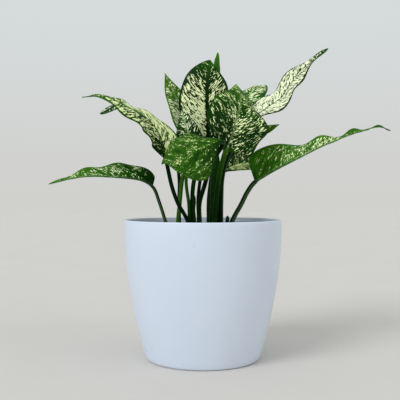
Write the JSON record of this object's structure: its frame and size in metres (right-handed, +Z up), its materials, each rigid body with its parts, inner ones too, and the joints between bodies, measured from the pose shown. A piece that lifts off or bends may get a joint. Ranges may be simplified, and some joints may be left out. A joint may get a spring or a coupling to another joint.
{
  "type": "potted chinese evergreen",
  "caption": "Young chinese evergreen with cream-spotted leaves on long stalks, rooted in soil in a smooth round cool-white plastic pot.",
  "frame": {"origin": "middle of the pot's flat underside, on the surface it stands on", "axes": "+Z up along the pot's axis, -Y the front of the plant, +X its right-hand side seen from the front"},
  "size_m": [0.341, 0.1632, 0.318],
  "materials": {
    "pot": "satin",
    "soil": "matte",
    "leaf": "satin",
    "stalk": "satin"
  },
  "bodies": {
    "root": {"pot": "pot", "soil": "soil", "cane_left": "stalk", "cane_right": "stalk", "new_shoot": "stalk", "leaf_lower_left": "leaf", "leaf_middle_left": "leaf", "leaf_behind_middle_left": "leaf", "leaf_upright_left": "leaf", "leaf_young": "leaf", "leaf_upright_center": "leaf", "leaf_rolled": "leaf", "leaf_center_right": "leaf", "leaf_back_right": "leaf", "leaf_upper_right": "leaf", "leaf_small_right": "leaf", "leaf_low_back": "leaf", "leaf_lower_right": "leaf", "leaf_front": "leaf"}
  },
  "joints": []
}
